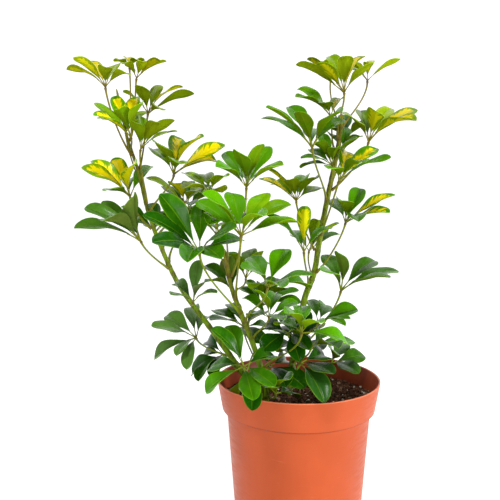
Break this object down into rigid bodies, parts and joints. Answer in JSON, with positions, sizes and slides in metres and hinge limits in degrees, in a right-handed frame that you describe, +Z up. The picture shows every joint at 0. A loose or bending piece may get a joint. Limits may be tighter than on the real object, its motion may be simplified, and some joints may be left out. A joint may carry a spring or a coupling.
{
  "type": "potted umbrella plant",
  "caption": "Variegated umbrella plant with three leaning stems and fans of leaflets, in a round plastic nursery pot with a deep rim band.",
  "frame": {"origin": "centre of the pot's flat underside", "axes": "+Z up, +X to the viewer's right, +Y away from the viewer"},
  "size_m": [0.4009, 0.3073, 0.5674],
  "materials": {
    "pot_plastic": "terracotta-coloured moulded plastic, satin, slightly translucent at the thin rim",
    "potting_soil": "dark moist peat with fine fibres and small white perlite grains",
    "stem_bark": "smooth olive-green young bark with raised brown rings where leaves grow",
    "leaf": "waxy green leaflets with pale midribs, some with irregular yellow centres"
  },
  "bodies": {
    "root": {"pot": "pot_plastic", "soil": "potting_soil", "stem_left": "stem_bark", "stem_centre": "stem_bark", "stem_right": "stem_bark", "leaf_left_01": "leaf", "leaf_left_02": "leaf", "leaf_left_03": "leaf", "leaf_left_04": "leaf", "leaf_left_05": "leaf", "leaf_left_06": "leaf", "leaf_left_07": "leaf", "leaf_left_08": "leaf", "leaf_left_09": "leaf", "leaf_left_10": "leaf", "leaf_left_11": "leaf", "leaf_left_12": "leaf", "leaf_left_13": "leaf", "leaf_left_14": "leaf", "leaf_left_15": "leaf", "leaf_left_16": "leaf", "leaf_left_17": "leaf", "leaf_centre_01": "leaf", "leaf_centre_02": "leaf", "leaf_centre_03": "leaf", "leaf_centre_04": "leaf", "leaf_centre_05": "leaf", "leaf_centre_06": "leaf", "leaf_centre_07": "leaf", "leaf_centre_08": "leaf", "leaf_centre_09": "leaf", "leaf_centre_10": "leaf", "leaf_centre_11": "leaf", "leaf_centre_12": "leaf", "leaf_centre_13": "leaf", "leaf_centre_14": "leaf", "leaf_centre_15": "leaf", "leaf_centre_16": "leaf", "leaf_centre_17": "leaf", "leaf_right_01": "leaf", "leaf_right_02": "leaf", "leaf_right_03": "leaf", "leaf_right_04": "leaf", "leaf_right_05": "leaf", "leaf_right_06": "leaf", "leaf_right_07": "leaf", "leaf_right_08": "leaf", "leaf_right_09": "leaf", "leaf_right_10": "leaf", "leaf_right_11": "leaf", "leaf_right_12": "leaf", "leaf_right_13": "leaf", "leaf_right_14": "leaf", "leaf_right_15": "leaf", "leaf_right_16": "leaf", "leaf_right_17": "leaf", "leaf_right_18": "leaf", "leaf_right_19": "leaf", "leaf_right_20": "leaf", "leaf_right_21": "leaf"}
  },
  "joints": []
}
